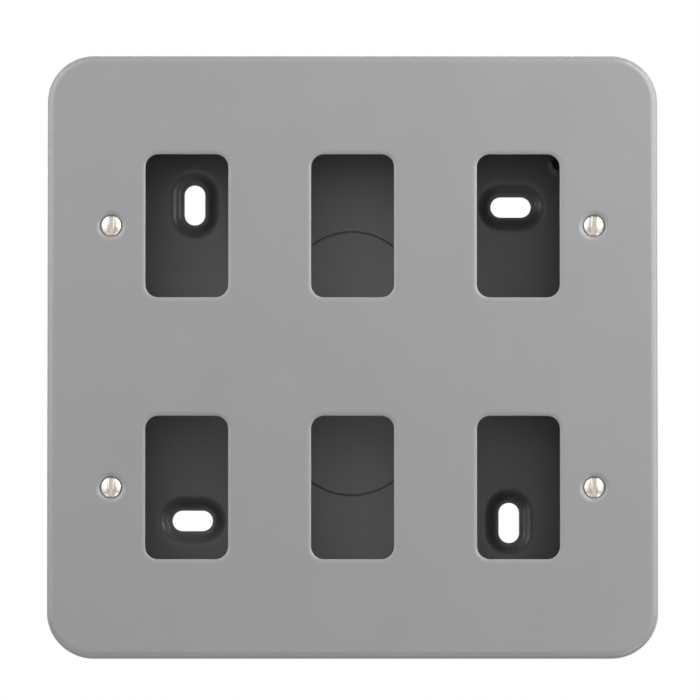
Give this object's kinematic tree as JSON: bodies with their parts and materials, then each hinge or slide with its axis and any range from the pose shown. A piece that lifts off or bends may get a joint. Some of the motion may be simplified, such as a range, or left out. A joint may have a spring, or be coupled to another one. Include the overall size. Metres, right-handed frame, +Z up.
{
  "type": "grid switch plate",
  "caption": "Grey painted steel grid plate with empty module apertures, screwed onto a drawn surface box with slotted wall feet and knock-outs.",
  "frame": {"origin": "on the wall's surface, midway between the four fixing feet", "axes": "+Z up the wall, +X to the right as seen from the front, the front faces -Y"},
  "size_m": [0.1526, 0.0435, 0.1508],
  "materials": {
    "painted_front": "satin grey powder coat",
    "painted_box": "satin grey powder coat",
    "nickel": "satin nickel plate",
    "zinc": "bright zinc plate"
  },
  "bodies": {
    "root": {"front_plate": "painted_front", "back_box": "painted_box", "plate_screws": "nickel", "upper_module_frame": "zinc", "lower_module_frame": "zinc", "fixing_lug_upper_left": "zinc", "fixing_lug_upper_right": "zinc", "fixing_lug_lower_left": "zinc", "fixing_lug_lower_right": "zinc"}
  },
  "joints": []
}
